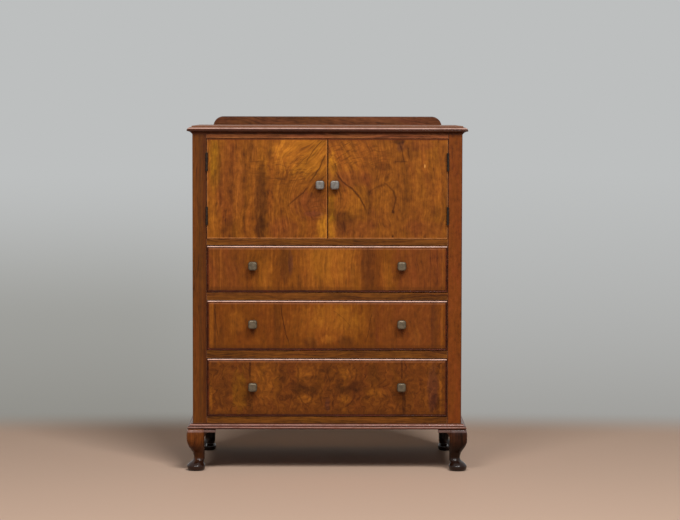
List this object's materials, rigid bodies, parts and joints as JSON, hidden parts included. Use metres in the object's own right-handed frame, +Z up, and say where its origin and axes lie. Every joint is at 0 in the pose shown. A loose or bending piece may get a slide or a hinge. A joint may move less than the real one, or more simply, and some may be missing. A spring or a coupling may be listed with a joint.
{
  "type": "tallboy",
  "caption": "Tall walnut chest with a two-door cupboard over drawers, moulded top with low back gallery, short cabriole legs with pad feet and small square knobs.",
  "frame": {"origin": "on the floor, under the middle of the box that holds the whole piece, knobs and all", "axes": "+Z up, the front faces -Y, +X to the right as the front is looked at"},
  "size_m": [0.7964, 0.469, 1.004],
  "materials": {
    "top_walnut": "polished walnut with a pale worn highlight along the thumb edge",
    "gallery_walnut": "polished dark walnut, grain along the board",
    "side_veneer": "polished straight-grained walnut veneer",
    "stile_walnut": "polished walnut, upright grain",
    "rail_walnut": "polished walnut, grain along the rail",
    "moulding_walnut": "polished walnut moulding with worn highlights",
    "leg_walnut": "dark glossy stained walnut",
    "door_veneer": "figured walnut veneer, french polished",
    "drawer_veneer": "figured walnut veneer, french polished",
    "bead_walnut": "polished walnut bead with a worn bright top",
    "drawer_lining": "plain oak, waxed",
    "plywood": "plain plywood",
    "carcase_softwood": "planed softwood",
    "hinge_brass": "tarnished brass",
    "catch_brass": "dull brass",
    "drawer_knob_metal": "oxidised cast metal, grey bronze",
    "door_knob_metal": "oxidised cast metal, silver grey"
  },
  "bodies": {
    "carcase": {"back_panel": "plywood", "base_moulding_front": "moulding_walnut", "base_moulding_left": "moulding_walnut", "base_moulding_right": "moulding_walnut", "bottom_board": "carcase_softwood", "bottom_rail": "rail_walnut", "catch_clips": "catch_brass", "cupboard_floor": "plywood", "door_rail": "rail_walnut", "door_stop": "carcase_softwood", "drawer_rail_lower": "rail_walnut", "drawer_rail_upper": "rail_walnut", "drawer_stops": "carcase_softwood", "front_stile_left": "stile_walnut", "front_stile_right": "stile_walnut", "gallery_board": "gallery_walnut", "hinge_leaves_frame": "hinge_brass", "hinge_pins": "hinge_brass", "knee_wings": "leg_walnut", "leg_back_left": "leg_walnut", "leg_back_right": "leg_walnut", "leg_front_left": "leg_walnut", "leg_front_right": "leg_walnut", "runners_lower": "carcase_softwood", "runners_middle": "carcase_softwood", "runners_upper": "carcase_softwood", "side_panel_left": "side_veneer", "side_panel_right": "side_veneer", "top_board": "top_walnut", "top_rail": "rail_walnut"},
    "door_left": {"door_panel_left": "door_veneer", "hinge_leaves_door_left": "hinge_brass", "door_knob_left": "door_knob_metal", "catch_tongue_left": "catch_brass"},
    "door_right": {"door_panel_right": "door_veneer", "hinge_leaves_door_right": "hinge_brass", "door_knob_right": "door_knob_metal", "catch_tongue_right": "catch_brass"},
    "drawer_upper": {"drawer_upper_front": "drawer_veneer", "drawer_upper_cock_bead": "bead_walnut", "drawer_upper_side_left": "drawer_lining", "drawer_upper_side_right": "drawer_lining", "drawer_upper_back": "drawer_lining", "drawer_upper_bottom": "plywood", "drawer_upper_knobs": "drawer_knob_metal"},
    "drawer_middle": {"drawer_middle_front": "drawer_veneer", "drawer_middle_cock_bead": "bead_walnut", "drawer_middle_side_left": "drawer_lining", "drawer_middle_side_right": "drawer_lining", "drawer_middle_back": "drawer_lining", "drawer_middle_bottom": "plywood", "drawer_middle_knobs": "drawer_knob_metal"},
    "drawer_lower": {"drawer_lower_front": "drawer_veneer", "drawer_lower_cock_bead": "bead_walnut", "drawer_lower_side_left": "drawer_lining", "drawer_lower_side_right": "drawer_lining", "drawer_lower_back": "drawer_lining", "drawer_lower_bottom": "plywood", "drawer_lower_knobs": "drawer_knob_metal"}
  },
  "joints": [
    {"name": "door_left_hinge", "type": "hinge", "parent": "carcase", "child": "door_left", "pos_m": [-0.3404, -0.2114, 0.8035], "axis": [0, 0, -1], "range_deg": [0, 175]},
    {"name": "door_right_hinge", "type": "hinge", "parent": "carcase", "child": "door_right", "pos_m": [0.3404, -0.2114, 0.8035], "axis": [0, 0, 1], "range_deg": [0, 175]},
    {"name": "drawer_upper_slide", "type": "slide", "parent": "carcase", "child": "drawer_upper", "axis": [0, -1, 0], "range_m": [0, 0.33]},
    {"name": "drawer_middle_slide", "type": "slide", "parent": "carcase", "child": "drawer_middle", "axis": [0, -1, 0], "range_m": [0, 0.33]},
    {"name": "drawer_lower_slide", "type": "slide", "parent": "carcase", "child": "drawer_lower", "axis": [0, -1, 0], "range_m": [0, 0.33]}
  ]
}
